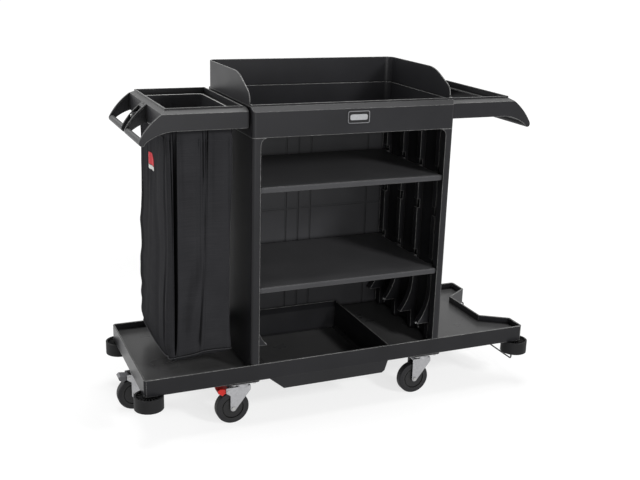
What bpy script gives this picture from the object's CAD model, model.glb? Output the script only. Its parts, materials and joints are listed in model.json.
# %% [markdown]
# A housekeeping cart, dressed for its picture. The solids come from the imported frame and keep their
# places and shapes. This file gives every solid the finish of its real material, replaces the plain
# laundry bag by hanging cloth, and adds the small trim: seams, stitches, a sewn tag and a bare plate.

# %% Load the frame
import json
import math

import bmesh
import bpy
from mathutils import Matrix, Vector, noise
from mathutils.bvhtree import BVHTree


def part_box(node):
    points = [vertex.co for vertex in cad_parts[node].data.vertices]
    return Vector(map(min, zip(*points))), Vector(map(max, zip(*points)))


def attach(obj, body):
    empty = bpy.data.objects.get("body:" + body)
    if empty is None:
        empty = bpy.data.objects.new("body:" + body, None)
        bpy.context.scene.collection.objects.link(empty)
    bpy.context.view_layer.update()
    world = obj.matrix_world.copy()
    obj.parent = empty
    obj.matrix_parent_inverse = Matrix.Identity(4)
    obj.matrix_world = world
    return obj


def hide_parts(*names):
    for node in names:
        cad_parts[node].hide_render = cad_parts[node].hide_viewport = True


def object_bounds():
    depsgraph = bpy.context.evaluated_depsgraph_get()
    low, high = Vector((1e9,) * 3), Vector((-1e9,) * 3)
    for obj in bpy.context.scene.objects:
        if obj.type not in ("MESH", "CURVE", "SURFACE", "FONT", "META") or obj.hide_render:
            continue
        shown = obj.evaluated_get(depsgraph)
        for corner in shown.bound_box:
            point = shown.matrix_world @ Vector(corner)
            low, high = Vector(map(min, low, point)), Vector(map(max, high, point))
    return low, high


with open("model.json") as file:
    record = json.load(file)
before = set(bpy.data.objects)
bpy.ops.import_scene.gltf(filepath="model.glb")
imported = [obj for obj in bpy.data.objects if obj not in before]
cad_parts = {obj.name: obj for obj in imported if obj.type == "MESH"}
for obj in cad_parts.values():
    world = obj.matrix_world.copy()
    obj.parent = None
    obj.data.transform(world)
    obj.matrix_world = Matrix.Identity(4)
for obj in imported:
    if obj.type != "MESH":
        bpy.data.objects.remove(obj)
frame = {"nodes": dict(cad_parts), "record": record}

cad_low, cad_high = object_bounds()
nodes = frame["nodes"]
scene = bpy.context.scene
MM = 0.001
print("frame:", len(nodes), "nodes, box", [round(v, 3) for v in (*cad_low, *cad_high)])

# %% [markdown]
# The camera stands where the photographer stood, left of the cart and a little above its top. Its
# place and turn were fitted to corners of the object, so the render and the picture can be laid over
# each other. The lens follows from the fitted focal length in pixels.

# %% Camera
IMAGE_WIDTH = 640
FOCAL_PIXELS = 935.67
camera_place = Vector((-1385.06, -3175.36, 1662.19)) * MM
yaw, pitch, roll = (math.radians(angle) for angle in (23.38472, 17.02759, 1.67309))

forward = Vector((math.sin(yaw) * math.cos(pitch), math.cos(yaw) * math.cos(pitch), -math.sin(pitch)))
level_right = Vector((math.cos(yaw), -math.sin(yaw), 0))
level_up = level_right.cross(forward)
right = math.cos(roll) * level_right + math.sin(roll) * level_up
up = -math.sin(roll) * level_right + math.cos(roll) * level_up

camera_data = bpy.data.cameras.new("photo_camera")
camera_data.sensor_fit = "HORIZONTAL"
camera_data.lens = FOCAL_PIXELS * camera_data.sensor_width / IMAGE_WIDTH
camera = bpy.data.objects.new("photo_camera", camera_data)
scene.collection.objects.link(camera)
camera_turn = Matrix((right, up, -forward)).transposed().to_4x4()
camera.matrix_world = Matrix.Translation(camera_place) @ camera_turn
scene.camera = camera
scene.view_settings.view_transform = "Standard"
print("camera: lens", round(camera_data.lens, 2), "mm")

# %% [markdown]
# Colours are written as the hex values that a screen shows. Shaders work with linear light, so one
# function converts them. A second one adds any node to a tree: it sets the node's options, and each
# input is either a value or another node's output. Three more name the nodes that come up most: a
# value moved to another range, two values combined, and two colours blended. The others make a mesh
# from a bmesh, an object that is in the scene, and an empty material.

# %% Colour, node and object helpers
def linear(hex_colour):
    channels = [int(hex_colour[i:i + 2], 16) / 255 for i in (1, 3, 5)]
    return [c / 12.92 if c <= 0.04045 else ((c + 0.055) / 1.055) ** 2.4 for c in channels] + [1.0]


def add(tree, kind, inputs=None, **options):
    node = tree.nodes.new(kind)
    for name, value in options.items():
        setattr(node, name, value)
    for key, value in (inputs or {}).items():
        if isinstance(value, bpy.types.NodeSocket):
            tree.links.new(value, node.inputs[key])
        else:
            node.inputs[key].default_value = value
    return node


def ranged(tree, value, low, high, to_low=0.0, to_high=1.0):
    sockets = {"Value": value, "From Min": low, "From Max": high, "To Min": to_low, "To Max": to_high}
    return add(tree, "ShaderNodeMapRange", sockets).outputs["Result"]


def combined(tree, operation, first, second):
    return add(tree, "ShaderNodeMath", {0: first, 1: second}, operation=operation).outputs[0]


def blended(tree, factor, first_hex, second_hex):
    sockets = {"Factor": factor, "A": linear(first_hex), "B": linear(second_hex)}
    return add(tree, "ShaderNodeMix", sockets, data_type="RGBA").outputs["Result"]


def mesh_from(name, shape):
    mesh = bpy.data.meshes.new(name)
    shape.to_mesh(mesh)
    shape.free()
    return mesh


def linked(name, data):
    made = bpy.data.objects.new(name, data)
    scene.collection.objects.link(made)
    return made


def new_material(name):
    material = bpy.data.materials.new(name)
    material.use_nodes = True
    material.node_tree.nodes.clear()
    return material, material.node_tree


print("linear value of mid grey:", round(linear("#808080")[0], 3))

# %% [markdown]
# The stage is a white sweep with soft light. Under the cart the floor is a diffuse grey, which keeps
# the cart's shadow, and a glow on top of it brings it up to white. Only the camera and reflections see
# the glow, so that it doesn't light the cart from below. The key light is a small box at the right, low
# enough to reach into the cabinet, and it throws the shadow of the hood's right wing into the tray. It
# is kept out of reflections, where so small a box would burn out. Wide boxes in front, above and at the
# left fill the shadows and lift the tops and the end faces.

# %% Stage and light
FLOOR_RADIUS = 60.0
SHADOW_ZONE = 1.6
FADE_ZONE = 3.6
SHADOW_GLOW = 0.74
FLOOR_SEGMENTS = 96
ROOM_LIGHT = 0.18
BACKDROP_LIGHT = 1.0


def seen_directly(tree):
    path = add(tree, "ShaderNodeLightPath").outputs
    seen = combined(tree, "MAXIMUM", path["Is Camera Ray"], path["Is Glossy Ray"])
    return combined(tree, "MAXIMUM", seen, path["Is Transmission Ray"])


floor_shape = bmesh.new()
bmesh.ops.create_circle(floor_shape, cap_ends=True, radius=FLOOR_RADIUS, segments=FLOOR_SEGMENTS)
floor_mesh = mesh_from("floor", floor_shape)
floor = linked("floor", floor_mesh)

floor_finish, tree = new_material("white_sweep")
place = add(tree, "ShaderNodeTexCoord").outputs["Object"]
distance = add(tree, "ShaderNodeVectorMath", {0: place}, operation="LENGTH").outputs["Value"]
fade = add(tree, "ShaderNodeMapRange", {
    "Value": distance, "From Min": SHADOW_ZONE, "From Max": FADE_ZONE, "To Min": SHADOW_GLOW},
    interpolation_type="SMOOTHSTEP").outputs["Result"]
strength = combined(tree, "MULTIPLY", fade, seen_directly(tree))
paint = add(tree, "ShaderNodeBsdfDiffuse", {"Color": linear("#909090")})
glow = add(tree, "ShaderNodeEmission", {"Color": linear("#ffffff"), "Strength": strength})
sweep = add(tree, "ShaderNodeAddShader", {0: paint.outputs[0], 1: glow.outputs[0]})
add(tree, "ShaderNodeOutputMaterial", {"Surface": sweep.outputs[0]})
floor_mesh.materials.append(floor_finish)

world = bpy.data.worlds.new("studio")
scene.world = world
world.use_nodes = True
tree = world.node_tree
tree.nodes.clear()
room = add(tree, "ShaderNodeBackground", {"Color": linear("#ffffff"), "Strength": ROOM_LIGHT})
backdrop = add(tree, "ShaderNodeBackground", {"Color": linear("#ffffff"), "Strength": BACKDROP_LIGHT})
sky = add(tree, "ShaderNodeMixShader", {
    0: seen_directly(tree), 1: room.outputs[0], 2: backdrop.outputs[0]})
add(tree, "ShaderNodeOutputWorld", {"Surface": sky.outputs[0]})

# name, place, aim, width and height of the box, watts
SOFT_BOXES = [
    ("left_box", (-3.7, 0.9, 1.7), (-0.4, 0.0, 0.8), 2.2, 2.2, 80),
    ("top_box", (0.0, 0.2, 4.2), (0.0, 0.0, 0.8), 3.0, 2.4, 130),
    ("front_box", (-0.5, -4.4, 1.3), (0.0, 0.0, 0.6), 2.2, 1.6, 80),
    ("key_box", (1.9, -3.8, 2.7), (0.0, 0.0, 0.7), 0.7, 0.7, 135),
]
for name, spot, aim, width, height, watts in SOFT_BOXES:
    lamp = bpy.data.lights.new(name, "AREA")
    lamp.shape = "RECTANGLE"
    lamp.size, lamp.size_y = width, height
    lamp.energy = watts
    lamp_object = linked(name, lamp)
    lamp_object.location = spot
    lamp_object.rotation_euler = (Vector(aim) - Vector(spot)).to_track_quat("-Z", "Y").to_euler()
    lamp_object.visible_glossy = name != "key_box"
print("stage: floor, world and", len(SOFT_BOXES), "soft boxes")

# %% [markdown]
# The housing is structural-foam polyethylene, moulded in charcoal. The mould is spark-eroded, so the
# skin has a fine even grain and a soft sheen. Use changes it in three ways. Handling polishes and pales
# the proud edges: a Bevel node rounds the look of each edge, and its difference from the flat normal
# finds them. Grime darkens grooves and joints, which Ambient Occlusion finds. And the faces that look up
# are scuffed paler by what stands on them.

# %% Moulded plastic and rubber
GRIME_REACH = 14 * MM
PATCH_SIZE = 160 * MM
SCRATCH_SIZE = 14 * MM
PLASTIC_IOR = 1.5
ROUGHNESS_SPREAD = 0.03
SHADER_SAMPLES = 6


def moulded(name, colour, worn, rough, grain_mm, grain_depth_mm, edge_mm, wear, gloss, scuff=0.0):
    material, tree = new_material(name)
    place = add(tree, "ShaderNodeTexCoord").outputs["Object"]
    patches = add(tree, "ShaderNodeTexNoise", {
        "Vector": place, "Scale": 1 / PATCH_SIZE, "Detail": 3.0}).outputs["Fac"]
    grain = add(tree, "ShaderNodeTexNoise", {
        "Vector": place, "Scale": 1 / (grain_mm * MM), "Detail": 2.0}).outputs["Fac"]
    scratches = add(tree, "ShaderNodeTexNoise", {
        "Vector": place, "Scale": 1 / SCRATCH_SIZE, "Detail": 5.0, "Roughness": 0.7}).outputs["Fac"]

    rounded = add(tree, "ShaderNodeBevel", {"Radius": edge_mm * MM}, samples=SHADER_SAMPLES).outputs[0]
    flat = add(tree, "ShaderNodeNewGeometry").outputs["Normal"]
    alike = add(tree, "ShaderNodeVectorMath", {0: rounded, 1: flat}, operation="DOT_PRODUCT")
    edge = ranged(tree, alike.outputs["Value"], 0.995, 0.85)
    hollow = add(tree, "ShaderNodeAmbientOcclusion", {"Distance": GRIME_REACH}, samples=SHADER_SAMPLES)
    hollow = hollow.outputs["AO"]
    proud = ranged(tree, hollow, 0.80, 0.95)
    rubbed = ranged(tree, scratches, 0.30, 0.70, 0.3 * wear, wear)
    rub = combined(tree, "MULTIPLY", edge, rubbed)
    rub = combined(tree, "MULTIPLY", rub, proud)

    facing = add(tree, "ShaderNodeSeparateXYZ", {0: flat}).outputs["Z"]
    upward = ranged(tree, facing, 0.6, 0.95, 0.0, scuff)
    rub = combined(tree, "MAXIMUM", rub, upward)

    tint = ranged(tree, patches, 0.3, 0.7, 0.88, 1.12)
    clean = ranged(tree, hollow, 0.50, 1.0, 0.12, 1.0)
    tint = combined(tree, "MULTIPLY", tint, clean)
    skin = blended(tree, rub, colour, worn)
    skin = add(tree, "ShaderNodeVectorMath", {0: skin, "Scale": tint}, operation="SCALE").outputs[0]
    dull = ranged(tree, patches, 0.3, 0.7, rough - ROUGHNESS_SPREAD, rough + ROUGHNESS_SPREAD)
    relief = add(tree, "ShaderNodeBump", {
        "Height": grain, "Normal": rounded, "Distance": grain_depth_mm * MM, "Strength": 0.6}).outputs[0]
    surface = add(tree, "ShaderNodeBsdfPrincipled", {
        "Base Color": skin, "Roughness": dull, "Normal": relief, "IOR": PLASTIC_IOR,
        "Specular IOR Level": gloss})
    add(tree, "ShaderNodeOutputMaterial", {"Surface": surface.outputs[0]})
    return material


# columns: name, colour, worn colour, roughness, grain in mm, grain depth in mm, edge in mm, wear, gloss
# and scuff
# the grain of the mould is about 0.5 mm; it is drawn at 2 mm so that it shows
charcoal_plastic = moulded(
    "charcoal_polyethylene", "#1f1f21", "#b4b4b2", 0.38, 2.0, 0.08, 3.2, 0.90, 0.17, 0.11)
shelf_plastic = moulded("shelf_polyethylene", "#333335", "#d2d2d0", 0.44, 2.0, 0.10, 4.5, 1.00, 0.30, 0.03)
deck_plastic = moulded("deck_polyethylene", "#1e1e20", "#b4b4b2", 0.30, 2.0, 0.06, 3.2, 0.90, 0.16, 0.09)
panel_plastic = moulded("panel_polyethylene", "#343436", "#606062", 0.44, 2.0, 0.10, 0.6, 0.00, 0.25)
bumper_rubber = moulded("bumper_rubber", "#141415", "#4a4a4a", 0.62, 1.6, 0.10, 2.0, 0.40, 0.20)
tyre_rubber = moulded("tyre_rubber", "#18181a", "#3a3a3a", 0.60, 1.6, 0.06, 1.5, 0.40, 0.30)
wheel_plastic = moulded("wheel_polypropylene", "#1a1a1b", "#4a4a4a", 0.42, 1.6, 0.05, 1.2, 0.50, 0.30)
grip_rubber = moulded("grip_rubber", "#161617", "#3c3c3c", 0.62, 1.2, 0.06, 0.8, 0.40, 0.25)
red_plastic = moulded("red_pedal_nylon", "#c3231b", "#de6a5c", 0.38, 1.6, 0.05, 1.4, 0.50, 0.4)
grey_plastic = moulded("grey_pedal_nylon", "#717174", "#9a9a9a", 0.42, 1.6, 0.05, 1.4, 0.50, 0.4)
print("moulded finishes: ten")

# %% [markdown]
# The casters are pressed from sheet steel and zinc plated, which leaves a pale grey metal with a
# faint cloudy spangle and soft reflections. The bolts are plated too, only duller. The rest at the
# notched end is bent wire with a black coating.

# %% Plated and coated metal
CLOUD_SIZE = 22 * MM
METAL_SPREAD = 0.08
CLOUD_RELIEF = 0.15 * MM


def plated(name, colour, cloud, rough, metal, spangle_mm, edge_mm):
    material, tree = new_material(name)
    place = add(tree, "ShaderNodeTexCoord").outputs["Object"]
    spangle = add(tree, "ShaderNodeTexVoronoi", {"Vector": place, "Scale": 1 / (spangle_mm * MM)})
    clouds = add(tree, "ShaderNodeTexNoise", {"Vector": place, "Scale": 1 / CLOUD_SIZE, "Detail": 4.0})
    clouds = clouds.outputs["Fac"]
    mixed = combined(tree, "MULTIPLY", spangle.outputs["Color"], clouds)
    skin = blended(tree, mixed, colour, cloud)
    dull = ranged(tree, clouds, 0.3, 0.7, rough - METAL_SPREAD, rough + METAL_SPREAD)
    rounded = add(tree, "ShaderNodeBevel", {"Radius": edge_mm * MM}, samples=SHADER_SAMPLES)
    relief = add(tree, "ShaderNodeBump", {
        "Height": clouds, "Normal": rounded.outputs[0], "Distance": CLOUD_RELIEF, "Strength": 0.4})
    surface = add(tree, "ShaderNodeBsdfPrincipled", {
        "Base Color": skin, "Metallic": metal, "Roughness": dull, "Normal": relief.outputs[0]})
    add(tree, "ShaderNodeOutputMaterial", {"Surface": surface.outputs[0]})
    return material


# columns: name, colour, cloud colour, roughness, metal, spangle in mm, edge in mm
zinc_steel = plated("zinc_plated_steel", "#aaaaac", "#88898b", 0.42, 1.0, 5.0, 0.8)
bolt_steel = plated("plated_bolt_steel", "#b0b0ae", "#8a8a88", 0.38, 1.0, 4.0, 0.5)
black_wire = plated("black_coated_wire", "#1c1c1d", "#2e2e30", 0.40, 0.0, 3.0, 0.5)
bare_plate = plated("satin_aluminium", "#9c9d9f", "#848587", 0.40, 1.0, 3.0, 0.5)
print("metal finishes: four")

# %% [markdown]
# The bag is plain-woven nylon with a thin coating, and its tag is a woven label. Light catches the tops
# of the threads, so a weave has a fine grain and hardly a reflection. The pattern follows the cloth
# through its UV map, which is laid out in metres: the product of two sines gives the over and under of
# the threads. Little light comes back out of a sharp fold, so Ambient Occlusion darkens the creases.

# %% Woven cloth
CREASE_REACH = 22 * MM
SLUB_LENGTH, SLUB_WIDTH = 90 * MM, 3 * MM
DUST_SIZE = 110 * MM
WEAVE_RELIEF = 0.2 * MM
CLOTH_SPREAD = 0.07
NYLON_IOR = 1.53


def woven(name, colour, dusty, rough, thread_mm, gloss):
    material, tree = new_material(name)
    cloth = add(tree, "ShaderNodeUVMap").outputs["UV"]
    wave = math.tau / (thread_mm * MM)
    lap = add(tree, "ShaderNodeVectorMath", {0: cloth, "Scale": wave}, operation="SCALE")
    lap = add(tree, "ShaderNodeVectorMath", {0: lap.outputs[0]}, operation="SINE")
    lap = add(tree, "ShaderNodeSeparateXYZ", {0: lap.outputs[0]})
    weave = combined(tree, "MULTIPLY", lap.outputs["X"], lap.outputs["Y"])
    slub = add(tree, "ShaderNodeMapping", {
        "Vector": cloth, "Scale": (1 / SLUB_LENGTH, 1 / SLUB_WIDTH, 1.0)})
    slub = add(tree, "ShaderNodeTexNoise", {"Vector": slub.outputs[0], "Scale": 1.0, "Detail": 2.0})
    place = add(tree, "ShaderNodeTexCoord").outputs["Object"]
    dust = add(tree, "ShaderNodeTexNoise", {"Vector": place, "Scale": 1 / DUST_SIZE, "Detail": 4.0})
    dust = dust.outputs["Fac"]
    shade = combined(tree, "MULTIPLY", slub.outputs["Fac"], dust)
    shade = ranged(tree, shade, 0.12, 0.42)
    skin = blended(tree, shade, colour, dusty)
    hollow = add(tree, "ShaderNodeAmbientOcclusion", {"Distance": CREASE_REACH}, samples=SHADER_SAMPLES)
    lit = ranged(tree, hollow.outputs["AO"], 0.45, 0.95, 0.10, 1.0)
    skin = add(tree, "ShaderNodeVectorMath", {0: skin, "Scale": lit}, operation="SCALE").outputs[0]
    dull = ranged(tree, dust, 0.3, 0.7, rough - CLOTH_SPREAD, rough + CLOTH_SPREAD)
    relief = add(tree, "ShaderNodeBump", {"Height": weave, "Distance": WEAVE_RELIEF, "Strength": 0.3})
    surface = add(tree, "ShaderNodeBsdfPrincipled", {
        "Base Color": skin, "Roughness": dull, "Normal": relief.outputs[0], "IOR": NYLON_IOR,
        "Specular IOR Level": gloss})
    add(tree, "ShaderNodeOutputMaterial", {"Surface": surface.outputs[0]})
    return material


# columns: name, colour, dusty colour, roughness, thread in mm, gloss
# nylon threads lie about 0.4 mm apart; they are drawn at 2.4 mm so that the weave shows
bag_nylon = woven("coated_nylon_weave", "#2a2a2c", "#313133", 0.75, 2.4, 0.01)
red_label = woven("red_woven_label", "#b3202b", "#c8343c", 0.60, 1.6, 0.20)
pale_label = woven("pale_woven_label", "#d9d9d6", "#c4c4c0", 0.60, 1.6, 0.20)
bag_thread = moulded("bonded_nylon_thread", "#3e3e40", "#5a5a5a", 0.60, 1.0, 0.05, 0.2, 0.30, 0.10)
hem_cord = moulded("hem_piping", "#b2b2b0", "#c4c4c2", 0.55, 1.0, 0.05, 0.2, 0.30, 0.30)
print("cloth finishes: three, with thread and piping")

# %% [markdown]
# Each solid names its material slot in the record, so one table from slot to finish dresses them all. Two
# have their own: nobody handles the back panel, so it has no polished edges, and the deck is wiped smooth.

# %% Dress the solids
FINISHES = {
    "housing": charcoal_plastic, "inner_plastic": shelf_plastic, "bumper_rubber": bumper_rubber,
    "tyre_rubber": tyre_rubber, "wheel_plastic": wheel_plastic, "grip_rubber": grip_rubber,
    "red_plastic": red_plastic, "grey_plastic": grey_plastic, "zinc_steel": zinc_steel,
    "bolt_steel": bolt_steel, "black_wire": black_wire, "bag_cloth": bag_nylon,
}
OWN_FINISHES = {"back_panel": panel_plastic, "base_deck": deck_plastic}
for row in frame["record"]["subparts"]:
    solid = nodes[row["node"]]
    solid.data.materials.clear()
    solid.data.materials.append(OWN_FINISHES.get(row["node"], FINISHES[row["material_slot"]]))

# %% [markdown]
# The laundry bag hangs by its folded hem on the ledge inside the left frame. Cloth alone would crease at
# random, but a bag that was packed flat keeps the folds of its packing. So its panels are lofted first,
# ring by ring, with those folds in them, and then hung as cloth, which slackens them.
# A ring is a rounded rectangle, written as a walk round four sides and four corners.

# %% Bag sizes and outline
bag_low, bag_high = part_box("laundry_bag")
BAG_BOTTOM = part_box("bag_floor")[0][2]
LEDGE_TOP = bag_high[2] - 3 * MM
HEM_WIDTH = 7.5 * MM
HEM_BEND = 2 * MM
HEM_LIFT = 0.7 * MM
BAG_CORNER = 18 * MM
BAG_SIDE = bag_high[1] - 9.5 * MM

# left, right and half depth of the neck inside the ledge and of the body below it
NECK = (bag_low[0] + 13.5 * MM, bag_high[0] - 9.5 * MM, BAG_SIDE)
BODY = (bag_low[0] + 0.5 * MM, bag_high[0] - 22.5 * MM, BAG_SIDE)


def round_rectangle(share, outline, corner):
    left, right_side, half_depth = outline
    middle = Vector(((left + right_side) / 2, 0))
    half_width = (right_side - left) / 2
    arc = math.pi / 2 * corner
    run = share * (4 * (half_width + half_depth - 2 * corner) + 4 * arc)
    for quarter in range(4):
        reach, half_side = (half_width, half_depth) if quarter % 2 == 0 else (half_depth, half_width)
        straight = 2 * (half_side - corner)
        turn = quarter * math.pi / 2
        out = Vector((math.cos(turn), math.sin(turn)))
        along = Vector((-out.y, out.x))
        if run <= straight:
            return middle + out * reach + along * (run - straight / 2), out
        run -= straight
        if run <= arc:
            normal = Vector((math.cos(turn + run / corner), math.sin(turn + run / corner)))
            return middle + out * (reach - corner) + along * straight / 2 + normal * corner, normal
        run -= arc
    return round_rectangle(0, outline, corner)


def ease(low, high, value):
    t = min(max((value - low) / (high - low), 0.0), 1.0)
    return t * t * (3 - 2 * t)


print("bag: bottom", round(BAG_BOTTOM, 3), "ledge", round(LEDGE_TOP, 3))

# %% [markdown]
# The folds are sums of simple bumps. A crease is a narrow bell curve across the panel. The front has
# one deep crease beside its left edge, one down the middle that is sharp at its ends, and a slanting
# fold low down, where the cloth hangs slack. The front left corner is pinched into a pleat, and the
# left side has a faint one of its own. Between them the cloth only ripples a little, which is noise.

# %% Folds
# each crease: its place, its depth and its width in metres
DEEP_CREASE, DEEP_DEPTH, DEEP_WIDTH = -0.643, 0.032, 0.0056
MIDDLE_CREASE, MIDDLE_DEPTH, MIDDLE_WIDTH = -0.530, 0.014, 0.0055
CORNER_PLEAT, CORNER_DEPTH, CORNER_WIDTH = -0.152, 0.040, 0.0085
SIDE_PLEAT, SIDE_DEPTH, SIDE_WIDTH = -0.040, 0.004, 0.024
# place of the slanting fold at a height of 0.42 m, its lean, its lower and its upper end
SLANT_PLACE, SLANT_LEAN, SLANT_LOW, SLANT_HIGH = -0.584, 0.20, 0.33, 0.72
SLANT_LEVEL = 0.42
PANEL_BULGE, PANEL_WIDTH = 0.008, 0.195
RIPPLE_DEPTH, DIMPLE_DEPTH = 0.0095, 0.004


def crease(offset, width):
    return math.exp(-(offset / width) ** 2)


def front_fold(x, height, z, wander):
    panel = min(max((x - DEEP_CREASE) / PANEL_WIDTH, 0), 1)
    swell = PANEL_BULGE * math.sin(math.pi * panel)
    swell -= DEEP_DEPTH * crease(x - DEEP_CREASE - 0.0024 * wander, DEEP_WIDTH)
    # the middle crease drifts to the left towards both ends, where it is also sharper
    middle = MIDDLE_CREASE - 0.011 * ease(0.80, 1.07, z) - 0.026 * ease(0.72, 0.33, z)
    sharp = 0.30 + 0.70 * ease(0.70, 0.84, height) + 0.45 * ease(0.30, 0.08, height)
    swell -= MIDDLE_DEPTH * sharp * crease(x - middle, MIDDLE_WIDTH)
    # the slanting fold is a broad ridge with a shallow valley at its left
    reach = ease(SLANT_LOW, SLANT_LOW + 0.10, z) * ease(SLANT_HIGH, SLANT_HIGH - 0.14, z)
    slant = SLANT_PLACE + SLANT_LEAN * (z - SLANT_LEVEL)
    swell += reach * (0.011 * crease(x - slant, 0.017) - 0.005 * crease(x - slant + 0.034, 0.012))
    return swell


def side_fold(y, height, z):
    coarse = noise.noise(Vector((1.5 * y, 2.0, 9 * z)))
    ripple = coarse + 0.7 * noise.noise(Vector((2 * y, 6.0, 22 * z)))
    swell = RIPPLE_DEPTH * ripple * (0.10 + 0.90 * ease(-0.05, 0.2, y))
    swell += 0.004 * ease(-0.15, -0.19, y)
    corner_drift = 0.008 * noise.noise(Vector((1.0, 0, 3 * z)))
    swell -= CORNER_DEPTH * crease(y - CORNER_PLEAT - corner_drift, CORNER_WIDTH)
    side_drift = 0.10 * noise.noise(Vector((3.0, 0, 3 * z)))
    swell -= SIDE_DEPTH * crease(y - SIDE_PLEAT - side_drift, SIDE_WIDTH)
    # the back of the side is drawn in above and bellies out below
    swell -= 0.020 * ease(0.50, 0.88, height) * ease(-0.1, 0.2, y)
    return swell + 0.010 * ease(0.50, 0.15, height)


def fold(point, normal, z):
    x, y = point
    height = (z - BAG_BOTTOM) / (LEDGE_TOP - BAG_BOTTOM)
    wander = noise.noise(Vector((0.0, y, 2.1 * z)))
    swell = DIMPLE_DEPTH * noise.noise(Vector((9 * x, 9 * y, 4 * z)))
    if abs(normal.y) > 0.5:
        swell += front_fold(x, height, z, wander)
    if normal.x < -0.5:
        swell += side_fold(y, height, z)
    if normal.x > 0.5:
        swell -= 0.012 * math.sin(math.pi * min(max(height / 0.75, 0), 1))
    return swell * ease(0.0, 0.08, height) * ease(0.98, 0.90, height)


deepest = fold(Vector((DEEP_CREASE, -BAG_SIDE)), Vector((0, -1)), 0.7)
print("folds: deep crease", round(1000 * deepest, 1), "mm")

# %% [markdown]
# The loft's columns are evenly spaced, and five times as close beside the creases, which would
# otherwise come out jagged.

# %% Columns of the loft
EVEN_COLUMNS = 240
FINE_STEPS = 5
FINE_REACH = 9 * MM
# the middle crease wanders to either side of a place left of its own
MIDDLE_DRIFT, MIDDLE_REACH = 16 * MM, 14 * MM
DEEP_REACH, CORNER_REACH = 3 * MM, 9 * MM


def is_creased(share):
    (x, y), normal = round_rectangle(share, BODY, BAG_CORNER)
    if normal.y < -0.5:
        middle_gap = abs(x - MIDDLE_CREASE + MIDDLE_DRIFT) - MIDDLE_REACH
        return min(abs(x - DEEP_CREASE) - DEEP_REACH, middle_gap) < FINE_REACH
    return normal.x < -0.5 and abs(y - CORNER_PLEAT) - CORNER_REACH < FINE_REACH


fine = [i / (EVEN_COLUMNS * FINE_STEPS) for i in range(EVEN_COLUMNS * FINE_STEPS)]
shares = [share for i, share in enumerate(fine) if i % FINE_STEPS == 0 or is_creased(share)]
COLUMNS = len(shares)
print("columns:", COLUMNS, "of which", COLUMNS - EVEN_COLUMNS, "crowd beside the creases")

# %% [markdown]
# The loft stacks rings from the rounded bottom edge up to the ledge, then turns outwards for the hem.
# The bottom panel is a set of shrinking rings that dip towards the middle, because a bag's floor sags.

# %% Loft the bag
ROWS = 100
BEND_ROWS = 4
FLOOR_RINGS = 12
FLOOR_SAG = 34 * MM
FLOOR_LIFT = 11 * MM
EDGE_ROUND = 12 * MM
HEM_LINE = 1.067
HEM_STEP = 2.5 * MM
HEM_RUN = 60 * MM
HEM_DROP = 0.8 * MM
HUB_DIP = 4 * MM

bend_base = LEDGE_TOP + HEM_LIFT - HEM_BEND
heights = [BAG_BOTTOM + (bend_base - BAG_BOTTOM) * i / (ROWS - 1) for i in range(ROWS)]
hem_row = sum(z < HEM_LINE for z in heights)
profile = [(z, HEM_STEP * ease(HEM_LINE - HEM_RUN, HEM_LINE, z)) for z in heights[:hem_row]]
profile += [(HEM_LINE, HEM_STEP), (HEM_LINE + HEM_DROP, 0.0)]
profile += [(z, 0.0) for z in heights[hem_row:]]
for i in range(1, BEND_ROWS + 1):
    angle = math.pi / 2 * i / BEND_ROWS
    profile.append((bend_base + HEM_BEND * math.sin(angle), HEM_BEND * (1 - math.cos(angle))))
profile.append((LEDGE_TOP + HEM_LIFT, HEM_WIDTH))


def bag_ring(z, spread):
    flare = ease(LEDGE_TOP - 8 * MM, LEDGE_TOP - 66 * MM, z)
    outline = [neck + (body - neck) * flare for neck, body in zip(NECK, BODY)]
    rise = min((z - BAG_BOTTOM) / EDGE_ROUND, 1.0)
    tuck = EDGE_ROUND * (1 - math.sqrt(1 - (1 - rise) ** 2))
    low = ease(0.22, 0.0, (z - BAG_BOTTOM) / (LEDGE_TOP - BAG_BOTTOM))
    ring = []
    for share in shares:
        point, normal = round_rectangle(share, outline, BAG_CORNER)
        point = point + normal * (fold(point, normal, z) + spread - tuck)
        sag = FLOOR_SAG * (1 - min(abs(point.y) / BAG_SIDE, 1) ** 2)
        lift = FLOOR_LIFT * ease(-0.62, -0.45, point.x)
        ring.append(Vector((point.x, point.y, z + low * (lift - sag))))
    return ring


shape = bmesh.new()
uv = shape.loops.layers.uv.new("cloth")
girth = 2 * (BODY[1] - BODY[0]) + 4 * BAG_SIDE
rings = [[shape.verts.new(point) for point in bag_ring(z, spread)] for z, spread in profile]
for i, (lower, upper) in enumerate(zip(rings, rings[1:])):
    for j in range(COLUMNS):
        k = (j + 1) % COLUMNS
        face = shape.faces.new((lower[j], lower[k], upper[k], upper[j]))
        ends = (shares[j], shares[k] if k else 1.0)
        levels = (profile[i], profile[i], profile[i + 1], profile[i + 1])
        for loop, share, (z, spread) in zip(face.loops, (*ends, *reversed(ends)), levels):
            loop[uv].uv = (girth * share, z + spread)

middle = sum((vertex.co for vertex in rings[0]), Vector()) / COLUMNS
middle.z = min(vertex.co.z for vertex in rings[0]) - HUB_DIP
outer = rings[0]
floor_faces = []
for i in range(1, FLOOR_RINGS + 1):
    share = 1 - i / (FLOOR_RINGS + 1)
    inner = []
    for vertex in rings[0]:
        point = middle.lerp(vertex.co, share)
        point.z = middle.z + (vertex.co.z - middle.z) * share ** 2
        inner.append(shape.verts.new(point))
    for j in range(COLUMNS):
        k = (j + 1) % COLUMNS
        floor_faces.append(shape.faces.new((outer[k], outer[j], inner[j], inner[k])))
    outer = inner
hub = shape.verts.new(middle)
for j in range(COLUMNS):
    floor_faces.append(shape.faces.new((outer[(j + 1) % COLUMNS], outer[j], hub)))
for face in floor_faces:
    for loop in face.loops:
        loop[uv].uv = loop.vert.co.xy
for face in shape.faces:
    face.smooth = True
bag_mesh = mesh_from("laundry_bag_cloth", shape)
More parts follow.
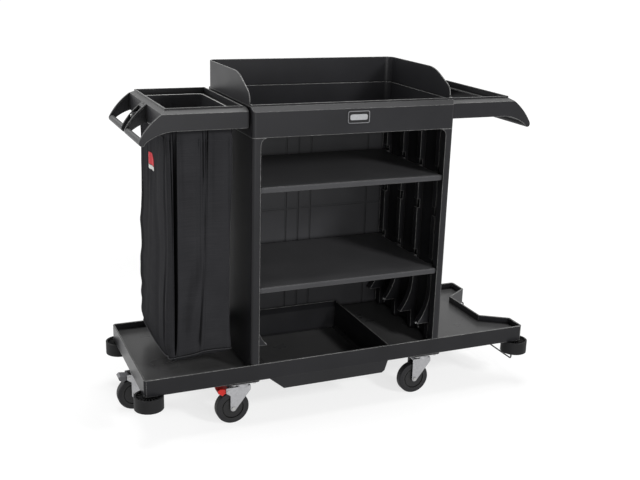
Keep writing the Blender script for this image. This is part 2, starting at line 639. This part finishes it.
bag = linked("laundry_bag_cloth", bag_mesh)
print("loft:", len(bag_mesh.vertices), "points")

# %% [markdown]
# Now the loft hangs. The hem is held by the frame, and the floor only loosely, because a folded bag's
# floor is stiffer than its sides. A little pressure stands for the air inside. The simulation only has to
# settle the folds, so each point's travel is capped, and the result is written back to the mesh.

# %% Hang the bag
HANG_FRAMES = 24
TRAVEL_CAP = 12 * MM
HELD_BAND = 14 * MM
FLOOR_HOLD = 0.6
FREE_RINGS = 2
CLOTH = {
    "quality": 5, "mass": 0.2, "tension_stiffness": 20, "compression_stiffness": 20,
    "shear_stiffness": 8, "bending_stiffness": 0.6, "air_damping": 3, "vertex_group_mass": "held",
    "shrink_min": -0.016, "use_pressure": True, "uniform_pressure_force": 0.12,
}

held = bag.vertex_groups.new(name="held")
hem_points = [i for i, vertex in enumerate(bag_mesh.vertices) if vertex.co.z > LEDGE_TOP - HELD_BAND]
floor_points = list(range((len(profile) + FREE_RINGS) * COLUMNS, len(bag_mesh.vertices)))
held.add(hem_points, 1.0, "REPLACE")
held.add(floor_points, FLOOR_HOLD, "REPLACE")
hang = bag.modifiers.new("hang", "CLOTH")
hang.collision_settings.use_collision = False
for name, value in CLOTH.items():
    setattr(hang.settings, name, value)
hang.point_cache.frame_start = 1
hang.point_cache.frame_end = HANG_FRAMES
for step in range(1, HANG_FRAMES + 1):
    scene.frame_set(step)
settled = bag.evaluated_get(bpy.context.evaluated_depsgraph_get()).data
moves = [after.co - before.co for after, before in zip(settled.vertices, bag_mesh.vertices)]
bag.modifiers.remove(hang)
scene.frame_set(1)
for vertex, move in zip(bag_mesh.vertices, moves):
    vertex.co += move * min(1.0, TRAVEL_CAP / max(move.length, 1e-9))
bag_mesh.update()
mean_travel = sum(move.length for move in moves) / len(moves)
print("hung: mean travel", round(mean_travel * 1000, 2), "mm")

# %% [markdown]
# Seams run where the panels meet: along the hem, down the four corners and round the floor. One node
# tree lays stitches along any line of points: the line becomes a curve, the curve is cut into equal
# steps, and a small thread sits on each step, turned along the curve. Growing a piece sets the tree's
# inputs, takes the finished mesh and removes the modifier.

# %% Stitch tree
def new_tree(name, sizes):
    tree = bpy.data.node_groups.new(name, "GeometryNodeTree")
    tree.interface.new_socket("Guide", in_out="INPUT", socket_type="NodeSocketGeometry")
    for size in sizes:
        tree.interface.new_socket(size, in_out="INPUT", socket_type="NodeSocketFloat")
    tree.interface.new_socket("Piece", in_out="OUTPUT", socket_type="NodeSocketGeometry")
    return tree, add(tree, "NodeGroupInput").outputs


def settle(piece, modifier):
    shaped = piece.evaluated_get(bpy.context.evaluated_depsgraph_get())
    mesh = bpy.data.meshes.new_from_object(shaped)
    piece.modifiers.remove(modifier)
    piece.data = mesh


def grow(name, guide, tree, sizes):
    piece = linked(name, guide)
    modifier = piece.modifiers.new(tree.name, "NODES")
    modifier.node_group = tree
    for socket in tree.interface.items_tree:
        if socket.in_out == "INPUT" and socket.name in sizes:
            modifier[socket.identifier] = sizes[socket.name]
    settle(piece, modifier)
    print("grew", name, "with", len(piece.data.polygons), "faces")
    return piece


stitch_tree, guide = new_tree("stitch_rows", ["Pitch", "Length", "Thread"])
curve = add(stitch_tree, "GeometryNodeMeshToCurve", {"Mesh": guide["Guide"]})
steps = add(stitch_tree, "GeometryNodeResampleCurve", {
    "Curve": curve.outputs[0], "Length": guide["Pitch"]}, mode="LENGTH")
thread = add(stitch_tree, "GeometryNodeMeshUVSphere", {"Segments": 6, "Rings": 4, "Radius": 0.5})
size = add(stitch_tree, "ShaderNodeCombineXYZ", {
    "X": guide["Length"], "Y": guide["Thread"], "Z": guide["Thread"]})
heading = add(stitch_tree, "GeometryNodeInputTangent")
turned = add(stitch_tree, "FunctionNodeAlignRotationToVector", {"Vector": heading.outputs[0]}, axis="X")
stitches = add(stitch_tree, "GeometryNodeInstanceOnPoints", {
    "Points": steps.outputs[0], "Instance": thread.outputs["Mesh"], "Rotation": turned.outputs[0],
    "Scale": size.outputs[0]})
solid = add(stitch_tree, "GeometryNodeRealizeInstances", {"Geometry": stitches.outputs[0]})
dressed = add(stitch_tree, "GeometryNodeSetMaterial", {
    "Geometry": solid.outputs[0], "Material": bag_thread})
add(stitch_tree, "NodeGroupOutput", {"Piece": dressed.outputs[0]})
print("stitch tree:", len(stitch_tree.nodes), "nodes")

# %% [markdown]
# The lines come from the hung cloth, lifted a little off it. A corner is where the outline's normal
# comes nearest to 45 degrees.

# %% Seams of the bag
SEAM_LIFT = 0.3 * MM
FLOOR_SEAM = 16 * MM
CORNER_RANGE = 0.25


def guide_lines(name, lines):
    mesh = bpy.data.meshes.new(name)
    points = []
    edges = []
    for line, closed in lines:
        first = len(points)
        points += [bag_mesh.vertices[i].co + SEAM_LIFT * bag_mesh.vertices[i].normal for i in line]
        edges += [(first + i, first + i + 1) for i in range(len(line) - 1)]
        if closed:
            edges.append((len(points) - 1, first))
    mesh.from_pydata(points, edges, [])
    return mesh


def row_at(z):
    return min(range(len(profile)), key=lambda i: abs(profile[i][0] - z))


def around(row):
    return [row * COLUMNS + j for j in range(COLUMNS)], True


normals = [round_rectangle(share, BODY, BAG_CORNER)[1] for share in shares]
slant = [abs(abs(normal.x) - math.sqrt(0.5)) for normal in normals]
corners = [j for j in range(COLUMNS)
           if slant[j] < CORNER_RANGE and slant[j] <= min(slant[j - 1], slant[(j + 1) % COLUMNS])]
floor_row = row_at(BAG_BOTTOM + FLOOR_SEAM)
lines = [around(hem_row - 1), around(floor_row)]
lines += [([i * COLUMNS + j for i in range(floor_row, hem_row)], False) for j in corners]
# seams on nylon have a stitch every 3 mm; they are drawn every 7 mm so that they show
seams = grow("bag_seams", guide_lines("seam_lines", lines), stitch_tree,
             {"Pitch": 7 * MM, "Length": 5 * MM, "Thread": 1.1 * MM})
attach(seams, "cart")
print("seams:", len(lines), "lines, corners at", corners)

# %% [markdown]
# The floor's edge is bound with a narrow tape, and a pale cord is piped into the hem, which shows as a
# light line inside the frame. A second tree sweeps a flat oval along either line: a rule that follows a
# path is again a job for nodes.

# %% Binding and piping
BINDING_HEIGHT = 5 * MM
tape_tree, guide = new_tree("edge_tape", ["Width", "Thickness"])
curve = add(tape_tree, "GeometryNodeMeshToCurve", {"Mesh": guide["Guide"]})
oval = add(tape_tree, "GeometryNodeCurvePrimitiveCircle", {"Resolution": 10, "Radius": 0.5})
size = add(tape_tree, "ShaderNodeCombineXYZ", {"X": guide["Width"], "Y": guide["Thickness"], "Z": 1.0})
oval = add(tape_tree, "GeometryNodeTransform", {
    "Geometry": oval.outputs["Curve"], "Scale": size.outputs[0]})
tape = add(tape_tree, "GeometryNodeCurveToMesh", {
    "Curve": curve.outputs[0], "Profile Curve": oval.outputs[0]})
solid = add(tape_tree, "GeometryNodeRealizeInstances", {"Geometry": tape.outputs[0]})
tape_tree.interface.new_socket("Finish", in_out="INPUT", socket_type="NodeSocketMaterial")
dressed = add(tape_tree, "GeometryNodeSetMaterial", {
    "Geometry": solid.outputs[0], "Material": guide["Finish"]})
add(tape_tree, "NodeGroupOutput", {"Piece": dressed.outputs[0]})
edge_row = row_at(BAG_BOTTOM + BINDING_HEIGHT)
binding = grow("bag_binding", guide_lines("binding_line", [around(edge_row)]), tape_tree,
               {"Width": 8 * MM, "Thickness": 4 * MM, "Finish": bag_thread})
piping = grow("hem_piping", guide_lines("piping_line", [around(len(profile) - 2)]), tape_tree,
              {"Width": 4.5 * MM, "Thickness": 4.5 * MM, "Finish": hem_cord})
for piece in (binding, piping):
    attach(piece, "cart")

# %% [markdown]
# The tag is a woven label sewn on the left side, a red field over a pale strip, both bare. Each is a
# grid cut to a rounded outline, and every point of it is dropped on the hung cloth, so that it follows
# the folds.

# %% Tag
TAG_MIDDLE = 0.062
TAG_WIDTH = 84 * MM
TAG_PITCH = 2.5 * MM
TAG_LIFT = 0.4 * MM
TAG_THICKNESS = 0.9 * MM
TAG_ROUND = 30 * MM
# lower and upper edge of the two fields
RED_FIELD = (0.927, 0.971)
PALE_STRIP = (0.910, 0.925)


def surface_of(mesh):
    return BVHTree.FromPolygons([v.co for v in mesh.vertices], [p.vertices for p in mesh.polygons])


def thicken(piece, thickness, offset):
    wall = piece.modifiers.new("wall", "SOLIDIFY")
    wall.thickness = thickness
    wall.offset = offset
    settle(piece, wall)


def label(name, edges, top_round, finish):
    low, high = edges
    cloth = surface_of(bag_mesh)
    across = round(TAG_WIDTH / TAG_PITCH)
    tall = round((high - low) / TAG_PITCH)
    shape = bmesh.new()
    uv = shape.loops.layers.uv.new("cloth")
    grid = []
    for i in range(tall + 1):
        z = low + (high - low) * i / tall
        above = max(z - (high - top_round), 0)
        half = TAG_WIDTH / 2 - top_round + math.sqrt(max(top_round ** 2 - above ** 2, 0))
        places = [TAG_MIDDLE + half * (1 - 2 * j / across) for j in range(across + 1)]
        hits = [cloth.ray_cast(Vector((cad_low[0], y, z)), Vector((1, 0, 0)))[0] for y in places]
        grid.append([shape.verts.new((hit.x - TAG_LIFT, hit.y, hit.z)) for hit in hits])
    for lower, upper in zip(grid, grid[1:]):
        for j in range(across):
            face = shape.faces.new((lower[j], lower[j + 1], upper[j + 1], upper[j]))
            face.smooth = True
            for loop in face.loops:
                loop[uv].uv = loop.vert.co.yz
    piece = linked(name, mesh_from(name, shape))
    thicken(piece, TAG_THICKNESS, 1.0)
    piece.data.materials.append(finish)
    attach(piece, "cart")


label("bag_tag", RED_FIELD, TAG_ROUND, red_label)
label("bag_tag_strip", PALE_STRIP, 0.0, pale_label)
print("tag: red field and pale strip")

# %% [markdown]
# Now the cloth gets its thickness, inwards so that the outside stays where it hangs, and takes the
# place of the plain solids, the bag and its floor.

# %% Finish the bag
CLOTH_THICKNESS = 1.5 * MM
thicken(bag, CLOTH_THICKNESS, -1.0)
bag.data.materials.append(bag_nylon)
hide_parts("laundry_bag", "bag_floor")
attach(bag, "cart")
print("bag:", len(bag.data.polygons), "faces")

# %% [markdown]
# A bare plate sits on the middle of the apron: a thin bezel, a dark field and a satin sheet. Each is a
# rounded rectangle on the apron's front face, pushed out by its thickness, with its front edge bevelled
# so that it catches the light.

# %% Plate on the apron
APRON_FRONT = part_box("top_tray")[0][1]
PLATE_MIDDLE = (2 * MM, 1126 * MM)
SUNK = 0.2 * MM
PLATE_POINTS = 48


def press_out(name, outline, corner, proud, bevel, finish):
    x, z = PLATE_MIDDLE
    shape = bmesh.new()
    ring = []
    for j in range(PLATE_POINTS):
        point = round_rectangle(j / PLATE_POINTS, outline, corner)[0]
        ring.append(shape.verts.new((x + point.x, APRON_FRONT + SUNK, z + point.y)))
    back = shape.faces.new(ring)
    front = bmesh.ops.extrude_face_region(shape, geom=[back])["geom"]
    front_points = [part for part in front if isinstance(part, bmesh.types.BMVert)]
    bmesh.ops.translate(shape, verts=front_points, vec=(0, -SUNK - proud, 0))
    front_face = next(part for part in front if isinstance(part, bmesh.types.BMFace))
    bmesh.ops.bevel(shape, geom=list(front_face.edges), offset=bevel, segments=2, affect="EDGES")
    bmesh.ops.recalc_face_normals(shape, faces=shape.faces)
    mesh = mesh_from(name, shape)
    mesh.materials.append(finish)
    piece = linked(name, mesh)
    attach(piece, "cart")
    print(name, "has", len(mesh.polygons), "faces")


# name, left, right and half height, corner, thickness, bevel, finish, slot
press_out("plate_bezel", (-42 * MM, 42 * MM, 22 * MM), 6 * MM, 2.4 * MM, 0.8 * MM,
          grey_plastic)
press_out("plate_field", (-39 * MM, 39 * MM, 19 * MM), 4 * MM, 2.7 * MM, 0.2 * MM,
          grip_rubber)
press_out("plate_sheet", (-33 * MM, 33 * MM, 10 * MM), 6 * MM, 3.2 * MM, 0.4 * MM,
          bare_plate)

# %% [markdown]
# Domed studs hold the feet of the side panels' gussets. A stud is a flattened ball, sunk to its middle,
# and a ray cast outwards from inside the cabinet finds the face that it sits on.

# %% Studs
STUD_RADIUS = 6 * MM
STUD_RISE = 3 * MM
STUD_PLACES = [(-215 * MM, 300 * MM), (65 * MM, 300 * MM)]


def stud(name, spot, out):
    shape = bmesh.new()
    bmesh.ops.create_uvsphere(shape, u_segments=16, v_segments=8, radius=STUD_RADIUS)
    bmesh.ops.scale(shape, verts=shape.verts, vec=(1, 1, STUD_RISE / STUD_RADIUS))
    turn = Vector((0, 0, 1)).rotation_difference(out).to_matrix().to_4x4()
    bmesh.ops.transform(shape, verts=shape.verts, matrix=Matrix.Translation(spot) @ turn)
    for face in shape.faces:
        face.smooth = True
    mesh = mesh_from(name, shape)
    mesh.materials.append(zinc_steel)
    piece = linked(name, mesh)
    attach(piece, "cart")


for side, way in (("left", -1), ("right", 1)):
    panel = surface_of(nodes[side + "_side_panel"].data)
    for i, (y, z) in enumerate(STUD_PLACES):
        spot, out = panel.ray_cast(Vector((0, y, z)), Vector((way, 0, 0)))[:2]
        stud(f"{side}_stud_{i}", spot, out)
        print(side, "stud at", [round(v, 4) for v in spot])
